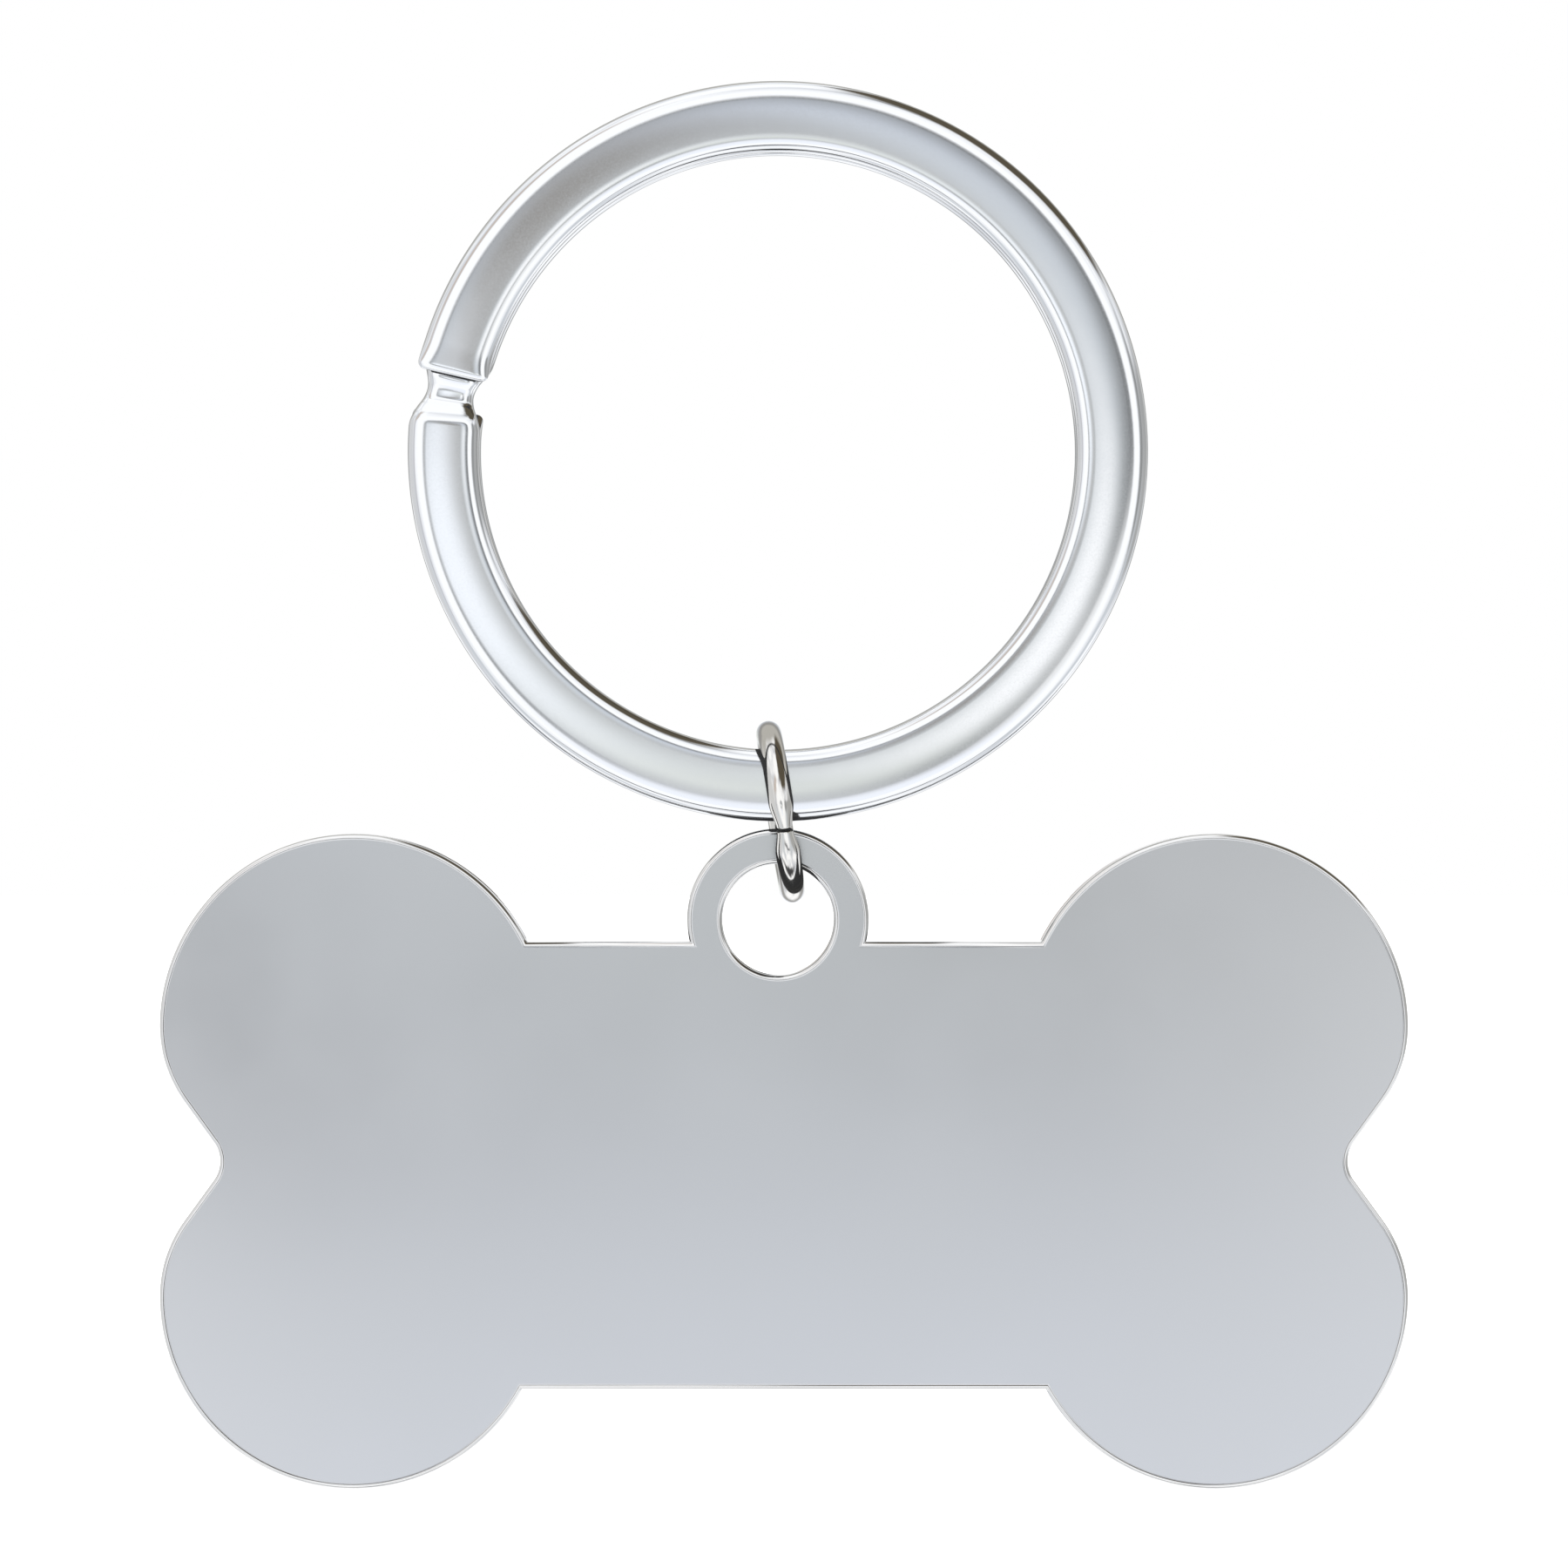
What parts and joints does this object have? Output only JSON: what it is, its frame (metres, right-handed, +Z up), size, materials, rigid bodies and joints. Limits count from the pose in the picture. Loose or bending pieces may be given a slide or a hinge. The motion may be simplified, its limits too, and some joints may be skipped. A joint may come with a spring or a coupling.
{
  "type": "pet id tag",
  "caption": "Bone-shaped metal identity tag with a loop on top, hung by an open wire jump ring from a flat wound split ring.",
  "frame": {"origin": "where a collar's ring carries the split ring: the middle of the band's inner surface at the top of the ring, between the two coils", "axes": "+Z up, with the tag hanging down; the tag's front faces -Y; +X to the right as seen from the front"},
  "size_m": [0.05, 0.0074, 0.0564],
  "materials": {
    "tag_steel": "polished stainless steel",
    "ring_nickel": "bright nickel-plated spring steel",
    "wire_nickel": "bright nickel-plated wire"
  },
  "bodies": {
    "split_ring": {"split_ring": "ring_nickel"},
    "jump_ring": {"jump_ring": "wire_nickel"},
    "tag": {"bone_tag": "tag_steel"}
  },
  "joints": [
    {"name": "ring_slide", "type": "hinge", "parent": "split_ring", "child": "jump_ring", "pos_m": [0, 0, -0.01196], "axis": [0, -1, 0], "continuous": true},
    {"name": "tag_swing", "type": "hinge", "parent": "jump_ring", "child": "tag", "pos_m": [0.0001, 0, -0.02607], "axis": [1, 0, 0], "range_deg": [-90, 90]}
  ]
}
